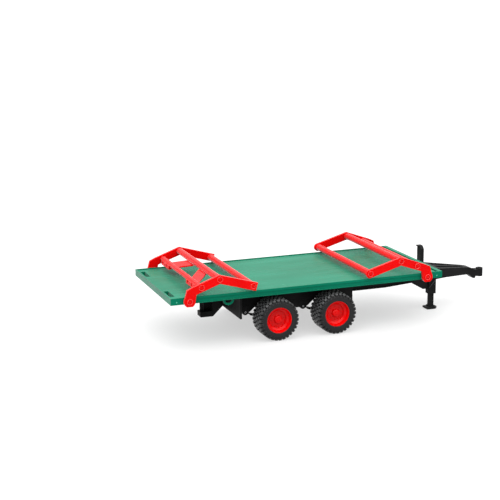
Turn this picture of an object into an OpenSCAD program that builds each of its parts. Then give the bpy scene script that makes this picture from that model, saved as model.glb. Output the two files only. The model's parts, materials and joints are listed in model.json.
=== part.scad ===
// Flat-bed farm trailer toy: ribbed deck, two folding end gates, tandem axles on leaf springs,
// A-shaped drawbar with a parking leg, and a rear hitch jaw.
// X runs forward to the drawbar eye, Y to the left and Z up; the origin is on the ground below
// the middle of the whole toy. Distances named "from the rear" start at the deck's rear edge.

/* [Deck] */
// Length of the deck
deck_l = 412; // [400:1:430]
// Width of the deck
deck_w = 180; // [176:1:184]
// Thickness of the deck at its edge
deck_t = 9.5; // [9:0.5:11]
// Height of the deck's rim above the ground
deck_top = 76; // [76:0.5:78]
// Depth of the load floor below the rim
floor_drop = 1.3; // [0.8:0.1:1.8]
// Width of the rim along the sides and the rear
rim_w = 1.6; // [1:0.1:3]
// Width of the rim at the front
front_rim_w = 6; // [4:0.5:8]
// Depth of the channel in each side face
channel_d = 1.2; // [1:0.2:4]

/* [Gates] */
// Distance of each gate's pivot from the nearer end of the deck
pivot_from_end = 25.8; // [24:0.2:28]
// Depth of the pivots below the rim
pivot_drop = 5.8; // [5.6:0.1:6]
// Radius of the pivot pins
pivot_r = 2.5; // [2:0.1:2.8]
// Thickness of a gate arm
arm_t = 3.8; // [3:0.1:4.2]
// Width of a gate arm
arm_w = 11.6; // [10:0.2:13]
// Diameter of the lower tube of a gate
low_tube_d = 7.5; // [6:0.5:9]
// Diameter of the top and end tubes of a gate
tube_d = 9.5; // [8:0.5:10.5]

/* [Wheels] */
// Outer radius of the tyres
tyre_r = 29.7; // [29:0.1:30]
// Width of the tyres
tyre_w = 33; // [30:1:34]
// Outer radius of the rims
rim_r = 18.4; // [17.5:0.1:19]
// Radius of the axles
axle_r = 1.7; // [1.5:0.1:2]
// Distance of the rear axle from the rear
rear_hub_from_rear = 156.2; // [154:0.2:158]
// Distance between the two axles
wheelbase = 88.3; // [87:0.1:90]

/* [Drawbar] */
// Reach of the drawbar ahead of the deck
reach = 122; // [118:1:126]
// Half of the drawbar's width at the deck
bar_half_w = 21.9; // [20:0.1:21.9]
// Radius of the vertical hole in the drawbar eye
eye_bore_r = 2.75; // [2:0.05:3.5]

/* [Rear hitch] */
// Radius of the hitch pin
hitch_pin_r = 2.5; // [2:0.1:3]
// Width of the hitch jaw
jaw_w = 14; // [12:1:16]

/* [Hidden] */
$fn = 48;
cut = 1;           // extra reach of every cutting tool
fit_gap = 0.05;    // radial clearance of a running or a close fit
side_gap = 0.3;    // clearance between a gate arm and the deck

// Places worked out from the sizes above
rear_x = -(deck_l + reach) / 2;
front_x = rear_x + deck_l;
mid_x = rear_x + deck_l / 2;
half_w = deck_w / 2;
under_z = deck_top - deck_t;
pivot_z = deck_top - pivot_drop;
rear_hub_x = rear_x + rear_hub_from_rear;
front_hub_x = rear_hub_x + wheelbase;
hub_z = tyre_r;

green = "mediumseagreen";
red = "crimson";
black = "#2a2a2c";
steel = "silver";

// ---------- helpers ----------

module both_sides() {
  children();
  mirror([0, 1, 0]) children();
}

// Box from its lowest corner to its highest corner
module block(low, high) {
  translate(low) cube(high - low);
}

// Cylinder along Y between two y values
module rod_y(x, z, y0, y1, r) {
  translate([x, y1, z]) rotate([90, 0, 0]) cylinder(h = y1 - y0, r = r);
}

// Upright outline in X and Z, extruded along Y between two y values
module side_plate(y0, y1) {
  translate([0, y1, 0]) rotate([90, 0, 0]) linear_extrude(height = y1 - y0) children();
}

// ---------- deck ----------

hollow_end = 14;
hollow_half_w = 78;
hollow_h = 5.7;
spine_half_w = 10;
rib_w = 2;
rib_count = 7;
channel_end = 33.5;
slot_x = [3.7, 10.2];
slot_y = [44, 75];
slot_step = 9.3;
slot_floor = 1.6;
bolster_hole_r = 1.2;
screw_r = 1.45;
screw_xs = [for (i = [0:4]) rear_x + 126 + 58 * i];

module deck_side_channel() {
  lower_flange = 0.9;
  upper_flange = 3.3;
  block([rear_x + channel_end, half_w - channel_d, under_z + lower_flange],
        [front_x - channel_end, half_w + cut, deck_top - upper_flange]);
}

// Pocket in the deck with a thin floor and a shallow step at its right-hand end
module deck_slot(y0, y1) {
  x0 = rear_x + slot_x[0];
  x1 = rear_x + slot_x[1];
  block([x0, y0 + slot_step, under_z + slot_floor], [x1, y1, deck_top + cut]);
  block([x0, y0, deck_top - floor_drop - 2.5], [x1, y1, deck_top + cut]);
}

module deck() {
  color(green)
  difference() {
    block([rear_x, -half_w, under_z], [front_x, half_w, deck_top]);
    block([rear_x + rim_w, -half_w + rim_w, deck_top - floor_drop],
          [front_x - front_rim_w, half_w - rim_w, deck_top + cut]);
    block([front_x - front_rim_w - 3, -half_w + rim_w, deck_top - floor_drop - 0.8],
          [front_x - front_rim_w, half_w - rim_w, deck_top + cut]);
    block([rear_x + hollow_end, -hollow_half_w, under_z - cut],
          [front_x - hollow_end, hollow_half_w, under_z + hollow_h]);
    both_sides() deck_side_channel();
    deck_slot(-slot_y[1], -slot_y[0]);
    deck_slot(slot_y[0], slot_y[1]);
    for (x = [rear_x + pivot_from_end, front_x - pivot_from_end])
      both_sides() rod_y(x, pivot_z, half_w - 8, half_w + cut, pivot_r + fit_gap);
    for (x = [rear_x + 8.5, front_x - 8.5])
      both_sides() rod_y(x, deck_top - 6, half_w - 3, half_w + cut, bolster_hole_r);
  }
}

// Spine with the screw holes and seven cross ribs on each side, in the hollow under the deck
module deck_ribs() {
  x0 = rear_x + hollow_end;
  pitch = (deck_l - 2 * hollow_end) / (rib_count + 1);
  color(green)
  union() {
    difference() {
      block([x0, -spine_half_w, under_z], [front_x - hollow_end, spine_half_w, under_z + hollow_h]);
      for (x = screw_xs)
        translate([x, 0, under_z - cut]) cylinder(h = cut + 5, r = screw_r + fit_gap);
    }
    for (i = [1:rib_count])
      both_sides()
        block([x0 + i * pitch - rib_w / 2, spine_half_w + fit_gap, under_z],
              [x0 + i * pitch + rib_w / 2, hollow_half_w, under_z + hollow_h]);
  }
}

// Half rings under the deck's side rails, to hook a strap into
loop_x = rear_x + 84.5;
loop_r = 8.1;
loop_hole_r = 5.1;
loop_y = [81.5, 84.5];

module lashing_loop() {
  drop = 1.1;
  side_plate(loop_y[0], loop_y[1])
    difference() {
      union() {
        translate([loop_x, under_z - drop]) circle(r = loop_r);
        translate([loop_x - loop_r, under_z - drop]) square([2 * loop_r, drop]);
      }
      translate([loop_x, under_z - drop]) circle(r = loop_hole_r);
      translate([loop_x - loop_r - cut, under_z]) square([2 * loop_r + 2 * cut, loop_r]);
    }
}

module lashing_loops() {
  color(green) both_sides() lashing_loop();
}

module deck_screws() {
  head_r = 2.9;
  head_h = 1.8;
  web = 3;
  color(steel)
  for (x = screw_xs) {
    translate([x, 0, under_z - web]) cylinder(h = web + 4.8, r = screw_r);
    difference() {
      translate([x, 0, under_z - web - head_h]) cylinder(h = head_h, r = head_r);
      translate([x - head_r, -0.4, under_z - web - head_h - cut]) cube([2 * head_r, 0.8, cut + 0.8]);
    }
  }
}

// ---------- chassis ----------

panel_x = rear_x + 103;
panel_t = 2.7;
chassis_x = [panel_x + panel_t, rear_x + 395];
chassis_y = 26;
chassis_wall = 4;
chassis_z = under_z - 24.9;
chassis_rise_x = rear_x + 352;
chassis_rise = 2.8;
web_t = 3;
rib_xs = [for (i = [0:3]) rear_x + 150 + 52 * i];
bar_pin_xs = [rear_x + 362, rear_x + 384];
bar_pin_r = 2;
bar_pin_z = 53.5;

// Side of the channel from its lower edge up, high_z at the rear; the front rises a little
module chassis_side(high_z, front_high_z) {
  polygon([[chassis_x[0], chassis_z], [chassis_rise_x, chassis_z], [chassis_x[1], chassis_z + chassis_rise],
           [chassis_x[1], front_high_z], [chassis_rise_x, high_z], [chassis_x[0], high_z]]);
}

module chassis() {
  lip = 2;
  color(black)
  difference() {
    union() {
      both_sides() {
        side_plate(chassis_y - chassis_wall, chassis_y) chassis_side(under_z, under_z);
        side_plate(chassis_y - 1, chassis_y + 1.4)
          chassis_side(chassis_z + lip, chassis_z + chassis_rise + lip);
      }
      block([chassis_x[0], -chassis_y, under_z - web_t], [chassis_x[1], chassis_y, under_z]);
      block([chassis_x[0], -chassis_y, chassis_z], [chassis_x[0] + 2.4, chassis_y, under_z]);
    }
    for (x = screw_xs)
      translate([x, 0, under_z - web_t - cut]) cylinder(h = web_t + 2 * cut, r = screw_r + fit_gap);
    for (x = bar_pin_xs)
      rod_y(x, bar_pin_z, -chassis_y - 3, chassis_y + 3, bar_pin_r + fit_gap);
  }
}

// Cross plates inside the channel
module chassis_ribs() {
  inner_y = chassis_y - chassis_wall;
  color(black)
  for (x = rib_xs)
    block([x - 1.2, -inner_y, chassis_z + 2], [x + 1.2, inner_y, under_z - web_t]);
}

// Wide cross panel behind the wheels
panel_half_w = 79;
panel_z = 33.4;

module rear_panel() {
  color(black)
  difference() {
    block([panel_x, -panel_half_w, panel_z], [panel_x + panel_t, panel_half_w, under_z]);
    both_sides()
      block([panel_x + 1.5, 52, panel_z + 3], [panel_x + panel_t + cut, panel_half_w - 3, under_z - 3]);
  }
}

// ---------- rear hitch ----------

jaw_rear_x = rear_x + 68.2;
jaw_floor_z = 28.4;
jaw_roof_z = 42.5;
jaw_top_z = 47;
jaw_low_z = 20.2;
jaw_wall_x = rear_x + 86.8;
hitch_pin_x = rear_x + 72;
pin_seat_z = 26.6;

module jaw_outline() {
  polygon([[jaw_rear_x, jaw_low_z + 1], [jaw_rear_x + 1, jaw_low_z + 0.2], [jaw_wall_x, jaw_low_z],
           [jaw_wall_x + 1.6, jaw_low_z + 1], [panel_x, panel_z + 1.6], [panel_x, jaw_top_z],
           [jaw_rear_x, jaw_top_z], [jaw_rear_x, jaw_roof_z], [jaw_wall_x, jaw_roof_z],
           [jaw_wall_x, jaw_floor_z], [jaw_rear_x, jaw_floor_z]]);
}

// Jaw with a cheek on its left, open to the rear and to the right
module hitch_bracket() {
  cheek_x = rear_x + 77;
  cheek_y = [jaw_w / 2 - 1, jaw_w / 2 + 1.5];
  color(black)
  difference() {
    union() {
      side_plate(-jaw_w / 2, jaw_w / 2) jaw_outline();
      translate([hitch_pin_x, 0, jaw_roof_z]) cylinder(h = jaw_top_z - jaw_roof_z, r = jaw_w / 2);
      block([cheek_x, cheek_y[0], jaw_floor_z - cut], [jaw_wall_x + cut, cheek_y[1], jaw_roof_z + cut]);
      block([panel_x - 4, -20, panel_z + 4], [panel_x, 20, jaw_top_z + 6]);
    }
    block([jaw_wall_x - 5, cheek_y[0] - cut, jaw_roof_z - 4.5],
          [jaw_wall_x - 1, cheek_y[1] + cut, jaw_roof_z]);
    translate([hitch_pin_x, 0, pin_seat_z])
      cylinder(h = jaw_top_z - pin_seat_z + cut, r = hitch_pin_r + fit_gap);
  }
}

module hitch_pin() {
  color(black)
  union() {
    translate([hitch_pin_x, 0, pin_seat_z + 0.1])
      cylinder(h = jaw_top_z - pin_seat_z, r = hitch_pin_r);
    translate([hitch_pin_x, 0, jaw_top_z + 0.1]) cylinder(h = 2.2, r = 4);
    translate([hitch_pin_x, 0, jaw_top_z + 2.3]) cylinder(h = 1.2, r = 3.2);
  }
}

// ---------- drawbar ----------

tail_x = rear_x + 352;
taper_x = rear_x + 440;
neck_x = rear_x + 503;
neck_half_w = 8.5;
eye_r = 5.4;
eye_x = front_x + reach - eye_r;
eye_z = [36.9, 49.9];
tail_top_z = 61.6;
tail_low_z = 45;

shoulder_x = rear_x + 414;
shoulder_half_w = 23.6;

module drawbar_plan() {
  polygon([[tail_x, -bar_half_w], [shoulder_x, -bar_half_w], [shoulder_x, -shoulder_half_w],
           [taper_x, -shoulder_half_w], [neck_x, -neck_half_w], [eye_x - 3, -5],
           [eye_x - 3, 5], [neck_x, neck_half_w], [taper_x, shoulder_half_w],
           [shoulder_x, shoulder_half_w], [shoulder_x, bar_half_w], [tail_x, bar_half_w]]);
}

module drawbar_profile() {
  polygon([[tail_x, tail_low_z], [tail_x, tail_top_z], [taper_x, tail_top_z], [neck_x, 54.5],
           [neck_x + 6, 53], [neck_x + 15, 48.6], [eye_x, 48.4], [eye_x, 38.5], [neck_x + 16, 38],
           [neck_x + 15, 35.4], [neck_x + 11.5, 35.4], [neck_x + 3, 42.4], [neck_x, 43],
           [rear_x + 460, tail_low_z]]);
}

// Shallow recess in the top, on the left half
module drawbar_pocket() {
  translate([0, 0, tail_low_z + 5])
    linear_extrude(height = 20)
      polygon([[rear_x + 447, 1.8], [rear_x + 447, 17], [rear_x + 497, 6.2], [rear_x + 497, 1.8]]);
}

// Solid under the sloping top, 1.8 mm below it
module pocket_floor() {
  drop = 1.8;
  side_plate(-shoulder_half_w, shoulder_half_w)
    polygon([[tail_x, 0], [tail_x, tail_top_z - drop], [taper_x, tail_top_z - drop],
             [neck_x, 54.5 - drop], [neck_x, 0]]);
}

leg_x = rear_x + 432.5;
leg_y = -20.5;
leg_half = [3.5, 3.7];
housing_half = [5.8, 4.6];
housing_z = [23.7, 62];

module drawbar() {
  color(black)
  difference() {
    union() {
      intersection() {
        translate([0, 0, 20]) linear_extrude(height = 50) drawbar_plan();
        side_plate(-shoulder_half_w, shoulder_half_w) drawbar_profile();
      }
      translate([eye_x, 0, eye_z[0]]) cylinder(h = eye_z[1] - eye_z[0], r = eye_r);
    }
    difference() {
      both_sides() drawbar_pocket();
      pocket_floor();
    }
    block([leg_x - housing_half[0], leg_y - housing_half[1], housing_z[0] - cut],
          [leg_x + housing_half[0], leg_y + housing_half[1], housing_z[1] + cut]);
    translate([eye_x, 0, eye_z[0] - cut]) cylinder(h = eye_z[1] - eye_z[0] + 2 * cut, r = eye_bore_r);
    for (x = bar_pin_xs)
      rod_y(x, bar_pin_z, -bar_half_w - cut, bar_half_w + cut, bar_pin_r + fit_gap);
  }
}

module drawbar_pins() {
  color(steel)
  for (x = bar_pin_xs) {
    rod_y(x, bar_pin_z, -chassis_y - 0.6, chassis_y, bar_pin_r);
    rod_y(x, bar_pin_z, chassis_y, chassis_y + 1.4, 3.4);
  }
}

// Upright holder for the hoses, on top of the drawbar
module hose_bracket() {
  x0 = rear_x + 429.6;
  thick = 5.6;
  lip = 2.2;
  y0 = 8;
  y1 = 20.5;
  z1 = 90.8;
  chamfer = 5;
  color(black)
  union() {
    translate([x0, 0, 0]) rotate([90, 0, 90]) linear_extrude(height = thick)
      polygon([[y0, tail_top_z], [y1, tail_top_z], [y1, z1], [y0 + chamfer, z1], [y0, z1 - chamfer]]);
    block([x0 - lip, y0 + chamfer, z1 - 1.8], [x0 + 1, y1, z1]);
    block([x0 - 3, y0, tail_top_z], [x0 + thick + 3, y1, tail_top_z + 2]);
  }
}

// ---------- parking leg ----------

leg_gap = 0.3;

module leg_housing() {
  gusset_y = [leg_y - 1.5, leg_y + 1.5];
  wall_y = leg_y - housing_half[1];
  cheek_t = 1;
  color(black)
  difference() {
    union() {
      block([leg_x - housing_half[0], leg_y - housing_half[1], housing_z[0]],
            [leg_x + housing_half[0], leg_y + housing_half[1], housing_z[1]]);
      block([leg_x - housing_half[0] - 0.6, leg_y - housing_half[1] - 0.5, housing_z[0]],
            [leg_x + housing_half[0], leg_y + housing_half[1], housing_z[0] + 7]);
      side_plate(gusset_y[0], gusset_y[1])
        polygon([[rear_x + 396, tail_low_z], [rear_x + 399, 42.5], [rear_x + 418.5, 31.2],
                 [leg_x - housing_half[0], 31.2], [leg_x - housing_half[0], tail_low_z]]);
      // raised cheek on the right-hand wall, with a slanting top edge
      side_plate(wall_y - cheek_t, wall_y + 0.3)
        polygon([[leg_x - housing_half[0] + 0.2, housing_z[0]], [leg_x + housing_half[0], housing_z[0]],
                 [leg_x + housing_half[0], 45.5], [leg_x + housing_half[0] - 1.8, 44],
                 [leg_x - housing_half[0] + 0.2, 33.5]]);
    }
    block([leg_x - leg_half[0] - leg_gap, leg_y - leg_half[1] - leg_gap, housing_z[0] - cut],
          [leg_x + leg_half[0] + leg_gap, leg_y + leg_half[1] + leg_gap, housing_z[1] + cut]);
  }
}

foot_t = 3;

module parking_leg() {
  color(black)
  difference() {
    block([leg_x - leg_half[0], leg_y - leg_half[1], foot_t], [leg_x + leg_half[0], leg_y + leg_half[1], 60]);
    for (z = [16, 28, 40])
      block([leg_x - 1.6, leg_y - leg_half[1] - cut, z], [leg_x + 1.6, leg_y - leg_half[1] + 1, z + 9]);
  }
}

module parking_foot() {
  a = [9, 8.2];
  c = 4.5;
  collar = 1.4;
  gap = 0.04;
  color(black)
  union() {
    translate([leg_x, leg_y, 0]) linear_extrude(height = foot_t)
      polygon([[-a[0], -a[1]], [a[0] - c, -a[1]], [a[0], -a[1] + c], [a[0], a[1] - c],
               [a[0] - c, a[1]], [-a[0], a[1]]]);
    difference() {
      block([leg_x - leg_half[0] - collar, leg_y - leg_half[1] - collar, foot_t],
            [leg_x + leg_half[0] + collar, leg_y + leg_half[1] + collar, foot_t + 2]);
      block([leg_x - leg_half[0] - gap, leg_y - leg_half[1] - gap, foot_t],
            [leg_x + leg_half[0] + gap, leg_y + leg_half[1] + gap, foot_t + 2 + cut]);
    }
  }
}

// ---------- running gear ----------

spring_span = 35;
eye_pin_z = 34;
hanger_r = 4.3;
eye_pin_r = 1.4;
frame_y = [chassis_y, 50];
frame_x = [rear_hub_x - 44, front_hub_x + spring_span + 8];
frame_z = under_z - 23;
frame_t = 2.6;
cheeks_y = [[39.4, 41.8], [50 - frame_t, 50]];
spring_y = [42, 47.2];
hanger_xs = [rear_hub_x - spring_span, rear_hub_x + spring_span,
             front_hub_x - spring_span, front_hub_x + spring_span];

// Angle rail of the left side: a plate under the deck and an upright plate beside the springs
module axle_frame() {
  color(black)
  union() {
    block([frame_x[0], frame_y[0], under_z - frame_t], [frame_x[1], frame_y[1], under_z]);
    block([frame_x[0], frame_y[1] - frame_t, frame_z], [frame_x[1], frame_y[1], under_z]);
  }
}

module axle_frame_left() {
  axle_frame();
}

module axle_frame_right() {
  mirror([0, 1, 0]) axle_frame();
}

// Strap from the rail down to a spring eye
module hanger_strap(x) {
  half = hanger_r - 0.1;
  difference() {
    union() {
      translate([x, eye_pin_z]) circle(r = hanger_r);
      translate([x - half, eye_pin_z]) square([2 * half, under_z - frame_t - eye_pin_z]);
    }
    translate([x, eye_pin_z]) circle(r = eye_pin_r + 0.03);
  }
}

// Plate below the rail around one or two eyes, with the outline given from its rear end
module hanger_plate(eyes, outline) {
  difference() {
    union() {
      polygon(outline);
      for (x = eyes) translate([x, eye_pin_z]) circle(r = hanger_r);
    }
    for (x = eyes) translate([x, eye_pin_z]) circle(r = eye_pin_r + 0.03);
  }
}

module spring_hangers() {
  e = hanger_xs;
  wide = 17.5;
  slant = [7.3, eye_pin_z + 0.8];
  side = [hanger_r - 0.1, eye_pin_z - 0.9];
  color(black)
  union() {
    for (x = e) side_plate(cheeks_y[0][0], cheeks_y[0][1]) hanger_strap(x);
    side_plate(cheeks_y[1][0], cheeks_y[1][1]) {
      hanger_plate([e[0]], [[e[0] - side[0], side[1]], [frame_x[0], frame_z], [e[0] + wide, frame_z],
                            [e[0] + slant[0], slant[1]], [e[0] + side[0], side[1]]]);
      hanger_plate([e[1], e[2]], [[e[1] - side[0], side[1]], [e[1] - slant[0], slant[1]],
                                  [e[1] - wide, frame_z], [e[2] + wide, frame_z],
                                  [e[2] + slant[0], slant[1]], [e[2] + side[0], side[1]]]);
      hanger_plate([e[3]], [[e[3] - side[0], side[1]], [e[3] - slant[0], slant[1]],
                            [e[3] - wide, frame_z], [frame_x[1], frame_z],
                            [frame_x[1], eye_pin_z - 0.5], [e[3] + 3, eye_pin_z - 3.9],
                            [e[3], eye_pin_z - 3.9]]);
    }
  }
}

module spring_hangers_left() {
  spring_hangers();
}

module spring_hangers_right() {
  mirror([0, 1, 0]) spring_hangers();
}

module axle(x) {
  color(steel) rod_y(x, hub_z, -axle_end_y, axle_end_y, axle_r);
}

module axle_front() {
  axle(front_hub_x);
}

module axle_rear() {
  axle(rear_hub_x);
}

// Leaves hang between two eyes and pass under the axle
leaf_t = 1.4;
leaf_overlap = 0.05;
leaf_top_z = 26.5;
leaf_sag = eye_pin_z - leaf_top_z;
leaf_r = (spring_span * spring_span + leaf_sag * leaf_sag) / (2 * leaf_sag);
leaf_angle = asin(spring_span / leaf_r);

// Curved leaf of half angle a, n leaves down from the top one
module leaf(a, n) {
  translate([0, spring_y[1], leaf_top_z + leaf_r])
    rotate([90, 0, 0])
      rotate([0, 0, -90 - a])
        rotate_extrude(angle = 2 * a, $fn = 240)
          translate([leaf_r + n * (leaf_t - leaf_overlap), 0]) square([leaf_t, spring_y[1] - spring_y[0]]);
}

module leaf_spring(x) {
  eye_r = 2.6;
  color(steel)
  translate([x, 0, 0])
  difference() {
    union() {
      leaf(leaf_angle, 0);
      leaf(leaf_angle * 0.72, 1);
      leaf(leaf_angle * 0.44, 2);
      for (side = [-1, 1]) rod_y(side * spring_span, eye_pin_z, spring_y[0], spring_y[1], eye_r);
    }
    for (side = [-1, 1])
      rod_y(side * spring_span, eye_pin_z, spring_y[0] - cut, spring_y[1] + cut, eye_pin_r + 0.03);
  }
}

module spring_front_left() {
  leaf_spring(front_hub_x);
}

module spring_front_right() {
  mirror([0, 1, 0]) leaf_spring(front_hub_x);
}

module spring_rear_left() {
  leaf_spring(rear_hub_x);
}

module spring_rear_right() {
  mirror([0, 1, 0]) leaf_spring(rear_hub_x);
}

module spring_pins() {
  color(steel)
  both_sides()
    for (x = hanger_xs)
      rod_y(x, eye_pin_z, cheeks_y[0][0] - 0.6, cheeks_y[1][1] + 0.8, eye_pin_r);
}

// Clamp that ties the axle to the middle of a spring
module axle_clamp(x) {
  half_l = 5.5;
  y0 = spring_y[0] - 1.5;
  y1 = spring_y[1] + 1.5;
  seat_z = leaf_top_z + 0.25;
  pack_low_z = leaf_top_z - 3 * leaf_t - 0.1;
  difference() {
    block([x - half_l, y0, pack_low_z - 1.6], [x + half_l, y1, hub_z + 3]);
    block([x - half_l - cut, spring_y[0] - 0.1, pack_low_z], [x + half_l + cut, spring_y[1] + 0.1, seat_z]);
    rod_y(x, hub_z, y0 - cut, y1 + cut, axle_r + 0.03);
    for (side = [-1, 1])
      translate([x + side * half_l, y0 - cut, hub_z + 3]) rotate([0, 45, 0])
        cube([3, y1 - y0 + 2 * cut, 3], center = false);
  }
}

module axle_clamps() {
  color(black)
  both_sides() {
    axle_clamp(front_hub_x);
    axle_clamp(rear_hub_x);
  }
}

// ---------- wheels ----------

wheel_out_y = 93.5;
wheel_mid_y = wheel_out_y - tyre_w / 2;
axle_end_y = 83.5;

// Wheel shapes are turned about the axle; s runs outwards from the middle of the tyre
module turned(x, side) {
  translate([x, side * wheel_mid_y, hub_z])
    mirror([0, side < 0 ? 1 : 0, 0])
      rotate([-90, 0, 0])
        rotate_extrude($fn = 96) children();
}

seat_r = rim_r - 0.9;
lip_s = 15.3;
disc_s = 6.8;
hub_s = 11.2;
nut_count = 8;

// From the hub's face out over the disc and the dish to the lip, then back along the inside
module rim_outline() {
  polygon([[0, hub_s], [1, hub_s], [1.3, hub_s + 0.6], [2, hub_s + 0.6], [2.3, hub_s],
           [4.4, hub_s - 0.2], [5.2, hub_s - 0.9], [5.8, disc_s + 1], [6.7, disc_s + 0.5],
           [11.7, disc_s], [12.3, disc_s + 0.3], [12.6, disc_s + 2.2], [13.4, disc_s + 2.9],
           [15.6, disc_s + 4.3], [16.5, disc_s + 6.8], [rim_r - 1, lip_s], [rim_r, lip_s],
           [rim_r, lip_s - 1.6], [seat_r, lip_s - 2.2], [seat_r, -lip_s + 2.2],
           [rim_r, -lip_s + 1.6], [rim_r, -lip_s], [seat_r - 1.2, -lip_s], [seat_r - 2, -lip_s + 2],
           [seat_r - 2, disc_s + 1.2], [13.3, disc_s - 1], [12, disc_s - 2], [5, disc_s - 2],
           [5, -12.5], [axle_r + fit_gap, -12.5], [axle_r + fit_gap, 6.8], [0, 6.8]]);
}

// Rim with a ring of wheel nuts on its disc
module rim(x, side) {
  nut_circle = 9.2;
  color(red)
  union() {
    turned(x, side) rim_outline();
    for (k = [0:nut_count - 1])
      translate([x, side * wheel_mid_y, hub_z])
        mirror([0, side < 0 ? 1 : 0, 0])
          rotate([-90, 0, 0]) rotate([0, 0, 360 * k / nut_count])
            translate([nut_circle, 0, disc_s - 1]) cylinder(h = 2.1, r = 0.9, $fn = 24);
  }
}

module rim_front_left() {
  rim(front_hub_x, 1);
}

module rim_front_right() {
  rim(front_hub_x, -1);
}

module rim_rear_left() {
  rim(rear_hub_x, 1);
}

module rim_rear_right() {
  rim(rear_hub_x, -1);
}

module tyre_outline() {
  h = tyre_w / 2;
  bead_r = seat_r + fit_gap;
  polygon([[bead_r, -lip_s + 2.3], [rim_r + 0.1, -lip_s + 1.8], [rim_r + 0.1, -h + 0.5],
           [20.4, -h + 0.2], [23, -h], [26.6, -h + 0.4], [28.6, -h + 1.8], [tyre_r, -h + 4],
           [tyre_r, h - 4], [28.6, h - 1.8], [26.6, h - 0.4], [23, h], [20.4, h - 0.2],
           [rim_r + 0.1, h - 0.5], [rim_r + 0.1, lip_s - 1.8], [bead_r, lip_s - 2.3]]);
}

module tyre(x, side) {
  color(black) turned(x, side) tyre_outline();
}

module tyre_front_left() {
  tyre(front_hub_x, 1);
}

module tyre_front_right() {
  tyre(front_hub_x, -1);
}

module tyre_rear_left() {
  tyre(rear_hub_x, 1);
}

module tyre_rear_right() {
  tyre(rear_hub_x, -1);
}

// ---------- gates ----------

// Gate shapes are drawn from the pivot, with +X towards the middle of the deck
elbow = [2.6, 13];
low_tube = [17, 18];
apex = [43.2, 27.2];
tip = [91.4, 13.3];
tip_reach = 5.5;
pivot_boss_r = 8;
pivot_foot = 7;
arm_y = [half_w + side_gap, half_w + side_gap + arm_t];
boss_r = 4.3;
boss_h = 0.6;
spigot_r = 3;

// end is -1 for the rear gate and 1 for the front gate
module at_gate(end) {
  translate([end < 0 ? rear_x + pivot_from_end : front_x - pivot_from_end, 0, pivot_z])
    mirror([end > 0 ? 1 : 0, 0, 0]) children();
}

// Cranked outline: a leg up from the pivot, a link to the apex and a link down to the tip,
// which is cut square or rounded
module arm_outline(round_tip) {
  half = arm_w / 2;
  up = apex - elbow;
  down = tip - apex;
  along = down / norm(down);
  n1 = [-up[1], up[0]] / norm(up) * half;
  n2 = [-down[1], down[0]] / norm(down) * half;
  tip_end = tip + along * (round_tip ? 0.8 : tip_reach);
  difference() {
    union() {
      circle(r = pivot_boss_r);
      translate(apex) circle(r = half + 0.1);
      polygon([[0.2 - pivot_boss_r, 0], [-3.5, 15.8], [4.7, 19.6], apex + n1, apex - n1,
               [9.6, 9.3], [pivot_boss_r - 0.2, 0]]);
      polygon([apex + n2, tip_end + n2, tip_end - n2, apex - n2]);
      if (round_tip) translate(tip_end) circle(r = half + 0.1);
    }
    translate([-pivot_boss_r - cut, -pivot_boss_r - cut])
      square([2 * pivot_boss_r + 2 * cut, pivot_boss_r + cut - pivot_foot]);
  }
}

module gate_arm(round_tip = false) {
  color(red)
  difference() {
    union() {
      side_plate(arm_y[0], arm_y[1]) arm_outline(round_tip);
      for (p = [[0, 0], low_tube, apex, tip]) rod_y(p[0], p[1], arm_y[1] - cut, arm_y[1] + boss_h, boss_r);
    }
    for (p = [[0, 0], low_tube, apex, tip])
      rod_y(p[0], p[1], arm_y[0] - cut, arm_y[1] + boss_h + cut, spigot_r + fit_gap);
  }
}

// Tube of diameter d across the gate, with a spigot into each arm
module gate_tube(p, d) {
  color(red)
  union() {
    rod_y(p[0], p[1], -arm_y[0] + fit_gap, arm_y[0] - fit_gap, d / 2);
    both_sides() rod_y(p[0], p[1], arm_y[0] - cut, arm_y[1] + 0.1, spigot_r);
  }
}

// Pins that join the arms to the deck, thicker inside the arm
module gate_pins() {
  color(red)
  both_sides()
    union() {
      rod_y(0, 0, half_w - 7.7, arm_y[0] + cut, pivot_r);
      rod_y(0, 0, arm_y[0] + 0.1, arm_y[1] + 0.1, spigot_r);
    }
}

// Flat board and its clip on the low tube of the rear gate, left side
board_t = 1.8;
board_y = [36, 66.5];
board_lean = 27;
board_drop = 2.1;
clip_y = [42, 78];

module gate_board() {
  start_x = low_tube[0] + 3;
  end_x = apex[0];
  rise = (apex[1] - low_tube[1]) / (apex[0] - low_tube[0]);
  start_z = low_tube[1] + rise * (start_x - low_tube[0]) - board_drop;
  end_z = apex[1] - board_drop;
  tube_r = low_tube_d / 2 + fit_gap;
  color(red)
  difference() {
    union() {
      // board, leaning towards the middle of the gate as it nears the top tube
      intersection() {
        linear_extrude(height = 40)
          polygon([[start_x, board_y[0]], [start_x, board_y[1]],
                   [end_x, board_y[1] - board_lean], [end_x, board_y[0] - board_lean]]);
        side_plate(0, half_w)
          polygon([[start_x, start_z - board_t], [end_x, end_z - board_t],
                   [end_x, end_z], [start_x, start_z]]);
      }
      // clip body around the tube
      block([low_tube[0] - 6, clip_y[0], low_tube[1] - 5.4],
            [low_tube[0] + 4.6, clip_y[1], low_tube[1] + 0.4]);
    }
    rod_y(low_tube[0], low_tube[1], 0, half_w, tube_r);
    rod_y(apex[0], apex[1], 0, half_w, tube_d / 2 + fit_gap);
    for (y = [clip_y[0] + 4, clip_y[1] - 14])
      block([low_tube[0] - 6 - cut, y, low_tube[1] - 3.4],
            [low_tube[0] - 4.6, y + 10, low_tube[1] + 0.4 + cut]);
  }
}

module rear_gate_arm_left() {
  at_gate(-1) gate_arm();
}

module rear_gate_arm_right() {
  mirror([0, 1, 0]) at_gate(-1) gate_arm();
}

module rear_gate_low_tube() {
  at_gate(-1) gate_tube(low_tube, low_tube_d);
}

module rear_gate_top_tube() {
  at_gate(-1) gate_tube(apex, tube_d);
}

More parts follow.
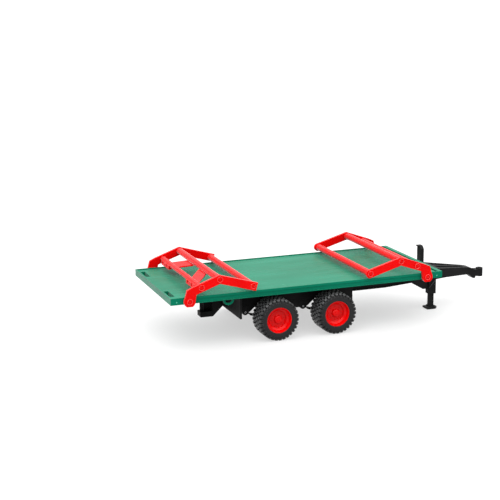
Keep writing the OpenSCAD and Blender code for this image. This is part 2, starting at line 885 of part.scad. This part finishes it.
module rear_gate_end_tube() {
  at_gate(-1) gate_tube(tip, tube_d);
}

module rear_gate_board_left() {
  at_gate(-1) gate_board();
}

module rear_gate_board_right() {
  mirror([0, 1, 0]) at_gate(-1) gate_board();
}

module rear_gate_pins() {
  at_gate(-1) gate_pins();
}

module front_gate_arm_left() {
  at_gate(1) gate_arm(true);
}

module front_gate_arm_right() {
  mirror([0, 1, 0]) at_gate(1) gate_arm(true);
}

module front_gate_low_tube() {
  at_gate(1) gate_tube(low_tube, low_tube_d);
}

module front_gate_top_tube() {
  at_gate(1) gate_tube(apex, tube_d);
}

module front_gate_end_tube() {
  at_gate(1) gate_tube(tip, tube_d);
}

module front_gate_pins() {
  at_gate(1) gate_pins();
}

deck();
deck_ribs();
lashing_loops();
chassis();
chassis_ribs();
rear_panel();
hitch_bracket();
hitch_pin();
drawbar();
drawbar_pins();
hose_bracket();
leg_housing();
parking_leg();
parking_foot();
axle_frame_left();
axle_frame_right();
spring_hangers_left();
spring_hangers_right();
axle_front();
axle_rear();
spring_front_left();
spring_front_right();
spring_rear_left();
spring_rear_right();
spring_pins();
axle_clamps();
rim_front_left();
rim_front_right();
rim_rear_left();
rim_rear_right();
tyre_front_left();
tyre_front_right();
tyre_rear_left();
tyre_rear_right();
rear_gate_arm_left();
rear_gate_arm_right();
rear_gate_low_tube();
rear_gate_top_tube();
rear_gate_end_tube();
rear_gate_board_left();
rear_gate_board_right();
rear_gate_pins();
front_gate_arm_left();
front_gate_arm_right();
front_gate_low_tube();
front_gate_top_tube();
front_gate_end_tube();
front_gate_pins();
deck_screws();
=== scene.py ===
"""Toy flat-bed bale trailer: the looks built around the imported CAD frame."""
import json
import math

import bmesh
import bpy
from mathutils import Matrix, Vector


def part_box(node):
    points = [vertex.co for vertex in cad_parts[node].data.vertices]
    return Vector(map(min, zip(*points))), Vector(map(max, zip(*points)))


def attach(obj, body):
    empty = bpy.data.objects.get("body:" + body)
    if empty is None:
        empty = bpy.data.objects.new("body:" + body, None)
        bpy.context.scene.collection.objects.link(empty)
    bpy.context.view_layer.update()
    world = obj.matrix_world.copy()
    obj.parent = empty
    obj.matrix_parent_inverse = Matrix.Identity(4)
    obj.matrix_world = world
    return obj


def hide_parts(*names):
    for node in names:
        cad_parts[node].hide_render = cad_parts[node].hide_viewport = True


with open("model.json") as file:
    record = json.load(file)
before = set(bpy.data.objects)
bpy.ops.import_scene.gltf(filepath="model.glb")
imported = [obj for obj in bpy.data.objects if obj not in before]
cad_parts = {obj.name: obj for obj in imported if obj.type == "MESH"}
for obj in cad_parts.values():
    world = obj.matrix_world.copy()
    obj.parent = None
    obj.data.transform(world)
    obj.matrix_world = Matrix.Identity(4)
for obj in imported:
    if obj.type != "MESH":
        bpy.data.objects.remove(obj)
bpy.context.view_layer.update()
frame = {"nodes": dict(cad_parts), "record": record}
MM = 0.001
NODES = frame["nodes"]


# ---------- camera, light and floor ----------

CAMERA_PLACE = (-0.7080, -1.5872, 0.5031)
CAMERA_AZIMUTH = -20.34
CAMERA_ELEVATION = 13.03
CAMERA_ROLL = -0.47
CAMERA_LENS = 86.74

# Surroundings as (sine of the elevation, brightness)
WORLD_LEVELS = ((0, 0.92), (0.14, 0.92), (0.2, 0.06), (0.6, 3.5))


def make_camera():
    data = bpy.data.cameras.new("camera")
    data.sensor_width = 36
    data.lens = CAMERA_LENS
    data.clip_start = 0.05
    data.clip_end = 50
    camera = bpy.data.objects.new("camera", data)
    bpy.context.scene.collection.objects.link(camera)
    az, el = math.radians(CAMERA_AZIMUTH), math.radians(CAMERA_ELEVATION)
    back = Vector((math.sin(az) * math.cos(el), -math.cos(az) * math.cos(el), math.sin(el)))
    right = Vector((math.cos(az), math.sin(az), 0))
    up = back.cross(right)
    turn = Matrix.Rotation(math.radians(CAMERA_ROLL), 3, back)
    axes = Matrix((turn @ right, turn @ up, back)).transposed()
    camera.matrix_world = Matrix.Translation(CAMERA_PLACE) @ axes.to_4x4()
    bpy.context.scene.camera = camera


def area_light(name, place, target, size, power):
    data = bpy.data.lights.new(name, "AREA")
    data.shape = "RECTANGLE"
    data.size, data.size_y = size
    data.energy = power
    light = bpy.data.objects.new(name, data)
    bpy.context.scene.collection.objects.link(light)
    light.location = place
    light.rotation_euler = (Vector(target) - Vector(place)).to_track_quat("-Z", "Y").to_euler()


def make_world():
    """Soft studio surroundings: a pale band at the horizon, then dim, and bright overhead."""
    world = bpy.data.worlds.new("studio")
    world.use_nodes = True
    tree = world.node_tree
    place = tree.nodes.new("ShaderNodeTexCoord")
    split = tree.nodes.new("ShaderNodeSeparateXYZ")
    ramp = tree.nodes.new("ShaderNodeValToRGB")
    tree.links.new(place.outputs["Generated"], split.inputs["Vector"])
    tree.links.new(split.outputs["Z"], ramp.inputs["Fac"])
    tree.links.new(ramp.outputs["Color"], tree.nodes["Background"].inputs["Color"])
    elements = ramp.color_ramp.elements
    for at, _ in WORLD_LEVELS[1:-1]:
        elements.new(at)
    for element, (at, level) in zip(elements, WORLD_LEVELS):
        element.position = at
        element.color = (level, level, level, 1)
    bpy.context.scene.world = world


def make_lights():
    bpy.context.scene.view_settings.view_transform = "Standard"
    make_world()
    area_light("top_light", (-0.3, -0.4, 1.6), (0, 0, 0), size=(1.5, 1.1), power=9)
    area_light("key_light", (-1.3, -0.9, 1.7), (0, 0, 0.05), size=(0.6, 0.6), power=6)


def make_floor():
    """Pale floor that glows a little, so that it runs into the white surroundings."""
    bpy.ops.mesh.primitive_plane_add(size=100, location=(0, 0, 0))
    floor = bpy.context.object
    floor.name = "floor"
    material = bpy.data.materials.new("pale_floor")
    material.use_nodes = True
    shader = material.node_tree.nodes["Principled BSDF"]
    shader.inputs["Base Color"].default_value = (0.2, 0.2, 0.2, 1)
    shader.inputs["Emission Color"].default_value = (1, 1, 1, 1)
    shader.inputs["Emission Strength"].default_value = 0.56
    shader.inputs["Roughness"].default_value = 0.7
    shader.inputs["Specular IOR Level"].default_value = 0.1
    floor.data.materials.append(material)


# ---------- materials ----------

class Recipe:
    """A node material around one Principled shader, in object coordinates."""

    def __init__(self, name, metallic=0.0, gloss=0.1, haze=0.0):
        self.material = bpy.data.materials.new(name)
        self.material.use_nodes = True
        self.tree = self.material.node_tree
        self.shader = self.tree.nodes["Principled BSDF"]
        self.shader.inputs["Metallic"].default_value = metallic
        self.shader.inputs["Specular IOR Level"].default_value = gloss
        self.shader.inputs["Sheen Weight"].default_value = haze
        self.shader.inputs["Sheen Roughness"].default_value = 0.3
        self.place = self.tree.nodes.new("ShaderNodeTexCoord").outputs["Object"]

    def link(self, a, b):
        self.tree.links.new(a, b)

    def noise(self, scale, detail, stretch=(1, 1, 1)):
        """Noise from 0 to 1; a stretch below 1 draws it out along that axis."""
        mapping = self.tree.nodes.new("ShaderNodeMapping")
        mapping.inputs["Scale"].default_value = stretch
        self.link(self.place, mapping.inputs["Vector"])
        node = self.tree.nodes.new("ShaderNodeTexNoise")
        node.inputs["Scale"].default_value = scale
        node.inputs["Detail"].default_value = detail
        self.link(mapping.outputs["Vector"], node.inputs["Vector"])
        return node.outputs["Fac"]

    def ramp(self, value, low, high, low_at=0.35, high_at=0.65):
        """Colour that goes from low to high while the value goes from low_at to high_at."""
        node = self.tree.nodes.new("ShaderNodeValToRGB")
        for element, at, colour in zip(node.color_ramp.elements, (low_at, high_at), (low, high)):
            element.position = at
            element.color = (*colour, 1)
        self.link(value, node.inputs["Fac"])
        return node.outputs["Color"]

    def spread(self, value, low, high, low_at=0.3, high_at=0.7):
        """Number that goes from low to high while the value goes from low_at to high_at."""
        node = self.tree.nodes.new("ShaderNodeMapRange")
        node.inputs["From Min"].default_value = low_at
        node.inputs["From Max"].default_value = high_at
        node.inputs["To Min"].default_value = low
        node.inputs["To Max"].default_value = high
        self.link(value, node.inputs["Value"])
        return node.outputs["Result"]

    def bump(self, value, height, strength, under=None):
        """Bump of the given height in millimetres, on top of another bump where there is one."""
        node = self.tree.nodes.new("ShaderNodeBump")
        node.inputs["Distance"].default_value = height * MM
        node.inputs["Strength"].default_value = strength
        self.link(value, node.inputs["Height"])
        if under:
            self.link(under, node.inputs["Normal"])
        return node.outputs["Normal"]

    def colour(self, output):
        self.link(output, self.shader.inputs["Base Color"])

    def rough(self, output):
        self.link(output, self.shader.inputs["Roughness"])

    def normal(self, output):
        self.link(output, self.shader.inputs["Normal"])


def moulded(name, low, high, roughness, gloss, haze, flow=(1, 1, 1), grain=0.002):
    """Moulded plastic: slow colour drift, flow streaks along the part and a fine grain."""
    r = Recipe(name, gloss=gloss, haze=haze)
    r.colour(r.ramp(r.noise(scale=22, detail=3, stretch=flow), low, high))
    r.rough(r.spread(r.noise(scale=45, detail=3, stretch=flow), *roughness))
    waves = r.bump(r.noise(scale=18, detail=2, stretch=flow), height=0.06, strength=0.5)
    r.normal(r.bump(r.noise(scale=1800, detail=2), height=grain, strength=0.5, under=waves))
    return r.material


# Radii of the tyre's grooves and of the tops of its lugs, in metres
GROOVE_RADIUS = 0.0268
LUG_TOP_RADIUS = 0.0298


def rubber(name):
    """Black rubber; the tops of the lugs are painted paler, a painted highlight with some dust, which leaves
    the grooves as painted shade.
    """
    r = Recipe(name, gloss=0.22, haze=0.2)
    flat = r.tree.nodes.new("ShaderNodeVectorMath")
    flat.operation = "MULTIPLY"
    flat.inputs[1].default_value = (1, 0, 1)
    r.link(r.place, flat.inputs[0])
    radius = r.tree.nodes.new("ShaderNodeVectorMath")
    radius.operation = "LENGTH"
    r.link(flat.outputs["Vector"], radius.inputs[0])
    height = r.spread(radius.outputs["Value"], 0, 1, low_at=GROOVE_RADIUS, high_at=LUG_TOP_RADIUS)
    speckle = r.spread(r.noise(scale=420, detail=4), 0.35, 1)
    painted_highlight_and_dust_mask = r.tree.nodes.new("ShaderNodeMath")
    painted_highlight_and_dust_mask.operation = "MULTIPLY"
    r.link(height, painted_highlight_and_dust_mask.inputs[0])
    r.link(speckle, painted_highlight_and_dust_mask.inputs[1])
    # The lug tops' paler colour, in specks, is painted highlight with some dust; the grooves stay black as
    # painted shade.
    black, painted_highlight_and_dust = (0.006, 0.006, 0.0065), (0.07, 0.071, 0.073)
    r.colour(r.ramp(painted_highlight_and_dust_mask.outputs["Value"], black, painted_highlight_and_dust, low_at=0.1, high_at=0.9))
    r.rough(r.spread(r.noise(scale=260, detail=3), 0.25, 0.5))
    r.normal(r.bump(r.noise(scale=900, detail=3), height=0.05, strength=0.6))
    return r.material


def brushed(name, colour):
    """Bare metal with fine lines along Y, the length of the axles and pins."""
    r = Recipe(name, metallic=1.0, gloss=0.5)
    lines = r.noise(scale=900, detail=2, stretch=(1, 0.05, 1))
    dark = tuple(0.75 * c for c in colour)
    r.colour(r.ramp(lines, dark, colour))
    r.rough(r.spread(lines, 0.22, 0.42))
    r.normal(r.bump(lines, height=0.01, strength=0.5))
    return r.material


# Each plastic: colours between which it drifts, span of roughness, gloss (specular level) and haze (sheen).
# The last three plastics are paler, glossier copies of red, green and black: painted highlights on the rings,
# studs and beads.
PLASTICS = {
    "green_plastic": dict(low=(0.0004, 0.094, 0.05), high=(0.0008, 0.124, 0.07),
                          roughness=(0.18, 0.32), gloss=0.03, haze=0.24, flow=(0.22, 1, 1)),
    "red_plastic": dict(low=(0.5, 0.0008, 0.0008), high=(0.56, 0.001, 0.001),
                        roughness=(0.16, 0.28), gloss=0.04, haze=0.36),
    "rim_plastic": dict(low=(0.48, 0.001, 0.001), high=(0.56, 0.0012, 0.001),
                        roughness=(0.12, 0.2), gloss=0.12, haze=0.03),
    "black_plastic": dict(low=(0.007, 0.007, 0.0072), high=(0.013, 0.013, 0.0133),
                          roughness=(0.3, 0.46), gloss=0.03, haze=0.0, grain=0.01),
    "red_painted_highlight": dict(low=(0.64, 0.012, 0.01), high=(0.72, 0.02, 0.018),
                     roughness=(0.12, 0.2), gloss=0.4, haze=0.3),
    "green_painted_highlight": dict(low=(0.02, 0.26, 0.16), high=(0.03, 0.32, 0.2),
                       roughness=(0.12, 0.2), gloss=0.5, haze=0.4),
    "black_painted_highlight": dict(low=(0.03, 0.032, 0.033), high=(0.07, 0.073, 0.075),
                       roughness=(0.2, 0.3), gloss=0.3, haze=0.2),
}
MATERIALS = {}


def make_materials():
    for name, look in PLASTICS.items():
        MATERIALS[name] = moulded(name, **look)
    MATERIALS["tyre_rubber"] = rubber("tyre_rubber")
    MATERIALS["steel"] = brushed("steel", (0.62, 0.62, 0.64))


# ---------- finish of the CAD nodes ----------

# Widths of the rounded edges, in millimetres
BEVELS = {"deck": 0.45, "chassis": 0.4, "drawbar": 0.7, "leg_housing": 0.4, "parking_leg": 0.4,
          "parking_foot": 0.5, "hitch_bracket": 0.6, "hose_bracket": 0.5, "axle_clamps": 0.25}
OTHER_BEVEL = 0.45
STEEL_BEVEL = 0.15
SPRING_BEVEL = 0.12


def round_edges(o, width, angle):
    """Bevel modifier on the edges sharper than the angle in degrees."""
    bevel = o.modifiers.new("bevel", "BEVEL")
    bevel.width = width * MM
    bevel.segments = 2
    bevel.limit_method = "ANGLE"
    bevel.angle_limit = math.radians(angle)
    bevel.harden_normals = True


def soften(o, width):
    """Rounds a CAD node's edges with modifiers; its mesh stays as it is."""
    weld = o.modifiers.new("weld", "WELD")
    weld.merge_threshold = 0.002 * MM
    flat = o.modifiers.new("flat", "DECIMATE")
    flat.decimate_type = "DISSOLVE"
    flat.angle_limit = math.radians(1)
    round_edges(o, width, angle=32)
    smooth = o.modifiers.new("smooth", "WEIGHTED_NORMAL")
    smooth.keep_sharp = True


def bevel_width(name, slot):
    if slot == "steel":
        return STEEL_BEVEL
    if name.startswith("spring_"):
        return SPRING_BEVEL
    return BEVELS.get(name, OTHER_BEVEL)


def finish_nodes():
    slots = {s["node"]: s["material_slot"] for s in frame["record"]["subparts"]}
    for name, o in NODES.items():
        o.data.materials.clear()
        o.data.materials.append(MATERIALS[slots[name]])
        soften(o, bevel_width(name, slots[name]))


# ---------- turned shapes and pieces ----------

def circle(steps):
    return [math.tau * i / steps for i in range(steps)]


def lathe(bm, outline, steps):
    """Turns a closed outline of (radius, s) points about Y; s is along Y, both in millimetres."""
    rings = []
    for a in circle(steps):
        rings.append([bm.verts.new((r * MM * math.cos(a), s * MM, r * MM * math.sin(a))) for r, s in outline])
    n = len(outline)
    for k in range(steps):
        ring, after = rings[k], rings[(k + 1) % steps]
        for i in range(n):
            bm.faces.new((ring[i], after[i], after[(i + 1) % n], ring[(i + 1) % n]))


def loft(bm, loops):
    """Joins closed loops of the same length one after another and closes both ends."""
    n = len(loops[0])
    for first, second in zip(loops, loops[1:]):
        for i in range(n):
            bm.faces.new((first[i], first[(i + 1) % n], second[(i + 1) % n], second[i]))
    bm.faces.new(loops[0][::-1])
    bm.faces.new(loops[-1])


def finished_mesh(name, bm, material):
    bmesh.ops.recalc_face_normals(bm, faces=bm.faces)
    mesh = bpy.data.meshes.new(name)
    bm.to_mesh(mesh)
    bm.free()
    mesh.materials.append(MATERIALS[material])
    for face in mesh.polygons:
        face.use_smooth = True
    return mesh


def turned_mesh(name, outline, steps, material):
    bm = bmesh.new()
    lathe(bm, outline, steps)
    return finished_mesh(name, bm, material)


def add_piece(name, mesh, place, body, turn=0):
    """Object that rides on the body; turn is its angle about Z."""
    piece = bpy.data.objects.new(name, mesh)
    bpy.context.scene.collection.objects.link(piece)
    piece.location = place
    piece.rotation_euler = (0, 0, turn)
    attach(piece, body)
    return piece


# ---------- tyres ----------

LUG_COUNT = 30
LUG_MEAN_RADIUS = 29.0
LUG_TAPER = 0.86

# Half of the carcass section as (radius, s): its seat on the rim, then from the side to mid tread
RIM_SEAT = (17.6, 13.0)
CARCASS = [(18.55, 13.7), (18.55, 15.9), (19.2, 16.2), (20.3, 16.25), (20.9, 16.42), (21.5, 16.25),
           (23.6, 16.3), (24.4, 16.2), (25.2, 15.8), (26.0, 15.0), (26.6, 13.8), (27.0, 11.8), (27.2, 8.0),
           (27.3, 0.0)]

# Blocks of tread on each half, as rows across the block from outside to inside. A row is (s, shift round
# the tyre, half length, top radius, base radius). STAGGER moves a block along, in parts of the pitch.
SHOULDER = [(16.4, 0.0, 1.8, 25.6, 24.4), (16.2, 0.0, 2.0, 27.4, 24.8), (15.5, 0.0, 2.05, 28.8, 25.6),
            (14.3, 0.0, 2.1, 29.5, 26.3), (11.9, 0.3, 2.1, 29.65, 26.8)]
SECOND = [(10.8, 0.4, 1.8, 29.68, 26.8), (8.6, 0.9, 2.05, 29.7, 27.0), (6.6, 1.2, 1.8, 29.7, 27.0)]
THIRD = [(5.2, 0.2, 1.8, 29.68, 27.0), (3.0, 0.6, 2.05, 29.7, 27.0), (1.0, 0.9, 1.8, 29.7, 27.0)]
STAGGER = ((SHOULDER, 0.0), (SECOND, 0.45), (THIRD, -0.05))
HALF_STAGGER = 0.25


def lug(bm, angle, hand, rows):
    """Block of tread, lofted across the tyre from row to row and narrower at its top."""
    loops = []
    for s, shift, half, top, base in rows:
        middle = angle + shift / LUG_MEAN_RADIUS
        loop = []
        for r, k in ((base, 1.0), (top, LUG_TAPER)):
            for side in (-1, 1):
                b = middle + side * k * half / LUG_MEAN_RADIUS
                loop.append(bm.verts.new((r * MM * math.cos(b), hand * s * MM, r * MM * math.sin(b))))
        loops.append((loop[0], loop[1], loop[3], loop[2]))
    loft(bm, loops)


def tyre_mesh():
    bm = bmesh.new()
    mirrored = [(r, -s) for r, s in reversed(CARCASS[:-1])]
    lathe(bm, [RIM_SEAT] + CARCASS + mirrored + [(RIM_SEAT[0], -RIM_SEAT[1])], steps=112)
    pitch = math.tau / LUG_COUNT
    for k in range(LUG_COUNT):
        for hand in (-1, 1):
            for rows, along in STAGGER:
                lug(bm, pitch * (k + HALF_STAGGER * hand + along), hand, rows)
    return finished_mesh("tyre", bm, "tyre_rubber")


def make_tyres():
    """Lugged tyre in place of each plain one; the right-hand tyres are turned round."""
    mesh = tyre_mesh()
    for end in ("front", "rear"):
        for side, turn in (("left", 0), ("right", math.pi)):
            node = f"tyre_{end}_{side}"
            low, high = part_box(node)
            centre = (low + high) / 2
            tyre = add_piece(f"lugged_{node}", mesh, centre, f"wheel_{end}_{side}", turn)
            round_edges(tyre, width=0.38, angle=35)
            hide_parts(node)


# ---------- rings and buttons on the gate bosses ----------

# Bosses of a gate arm as (x, z) in millimetres from its pivot, x towards the deck's middle
GATE_POINTS = ((0.0, 0.0), (17.0, 18.0), (43.2, 27.2), (91.4, 13.3))
RING_RADIUS = 3.8
RING_SECTION = (0.45, 0.36)
RING_STEPS = 12
RING_SINK = 0.12
BUTTON = ((0.02, -0.3), (2.5, -0.3), (2.5, 0.02), (2.1, 0.2), (0.9, 0.28), (0.02, 0.3))


def facing(outline, hand):
    """The outline of a turned shape, looking to the left (1) or to the right (-1)."""
    return [(r, hand * s) for r, s in outline]


def joint_place(name):
    joint = next(j for j in frame["record"]["behaviour"]["joints"] if j["name"] == name)
    return joint["pos_m"]


def make_rings():
    """Raised ring and button on the outer face of each gate boss."""
    wide, thick = RING_SECTION
    ring = [(RING_RADIUS + wide * math.cos(a), thick * math.sin(a)) for a in circle(RING_STEPS)]
    for end, inwards in (("rear", 1), ("front", -1)):
        pivot = joint_place(f"{end}_gate_fold")
        for side, hand in (("left", 1), ("right", -1)):
            low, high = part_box(f"{end}_gate_arm_{side}")
            face = high.y if hand > 0 else low.y
            for k, (x, z) in enumerate(GATE_POINTS, 1):
                place = (pivot[0] + inwards * x * MM, face - hand * RING_SINK * MM, pivot[2] + z * MM)
                # The ring's paler, glossier red is a painted highlight.
                mesh = turned_mesh("boss_ring", ring, steps=40, material="red_painted_highlight")
                add_piece(f"boss_ring_{end}_{side}_{k}", mesh, place, f"{end}_gate")
                mesh = turned_mesh("boss_button", facing(BUTTON, hand), steps=32, material="red_plastic")
                add_piece(f"boss_button_{end}_{side}_{k}", mesh, place, f"{end}_gate")


# ---------- studs at the deck's corners ----------

STUD_INSET = 8.5
STUD_DEPTH = 6
STUD = ((0.02, -2.5), (1.15, -2.5), (1.15, -0.3), (1.0, -0.1), (0.6, 0.06), (0.02, 0.12))


def make_studs():
    """Domed stud in the hole at each corner of the deck's sides, clear of the gate arms."""
    low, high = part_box("deck")
    height = high.z - STUD_DEPTH * MM
    for end, x in (("rear", low.x + STUD_INSET * MM), ("front", high.x - STUD_INSET * MM)):
        for side, hand in (("left", 1), ("right", -1)):
            place = (x, hand * high.y, height)
            # The stud's paler, glossier green is a painted highlight.
            mesh = turned_mesh("corner_stud", facing(STUD, hand), steps=24, material="green_painted_highlight")
            add_piece(f"corner_stud_{end}_{side}", mesh, place, "trailer")


# ---------- bead on the leg housing ----------

# Ends of the cheek's slanting edge: distance forward of the leg's middle, and height
CHEEK_START = (-5.6, 33.5)
CHEEK_END = (4.0, 44.0)
BEAD_RADIUS = 0.42
BEAD_FLATNESS = 0.7
BEAD_TIP = 0.35
BEAD_TAPER = 4
BEAD_STATIONS = 12
BEAD_SIDES = 10


def make_cheek_edge():
    """Thin rounded bead along the slanting top edge of the cheek on the leg housing."""
    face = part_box("leg_housing")[0].y
    leg_low, leg_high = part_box("parking_leg")
    middle = (leg_low.x + leg_high.x) / 2
    start, end = (Vector((middle + x * MM, face, z * MM)) for x, z in (CHEEK_START, CHEEK_END))
    sideways = Vector((0, 1, 0))
    across = (end - start).normalized().cross(sideways)
    section = [math.cos(a) * across + BEAD_FLATNESS * math.sin(a) * sideways for a in circle(BEAD_SIDES)]
    bm = bmesh.new()
    loops = []
    for k in range(BEAD_STATIONS + 1):
        centre = start.lerp(end, k / BEAD_STATIONS)
        from_tip = min(k, BEAD_STATIONS - k) / BEAD_STATIONS
        radius = BEAD_RADIUS * MM * min(1, BEAD_TIP + BEAD_TAPER * from_tip)
        loops.append([bm.verts.new(centre + radius * point) for point in section])
    loft(bm, loops)
    # The bead's paler, glossier black is a painted highlight along the cheek's edge.
    mesh = finished_mesh("cheek_edge", bm, "black_painted_highlight")
    add_piece("cheek_edge", mesh, (0, 0, 0), "trailer")


make_camera()
make_lights()
make_floor()
make_materials()
finish_nodes()
make_tyres()
make_rings()
make_studs()
make_cheek_edge()
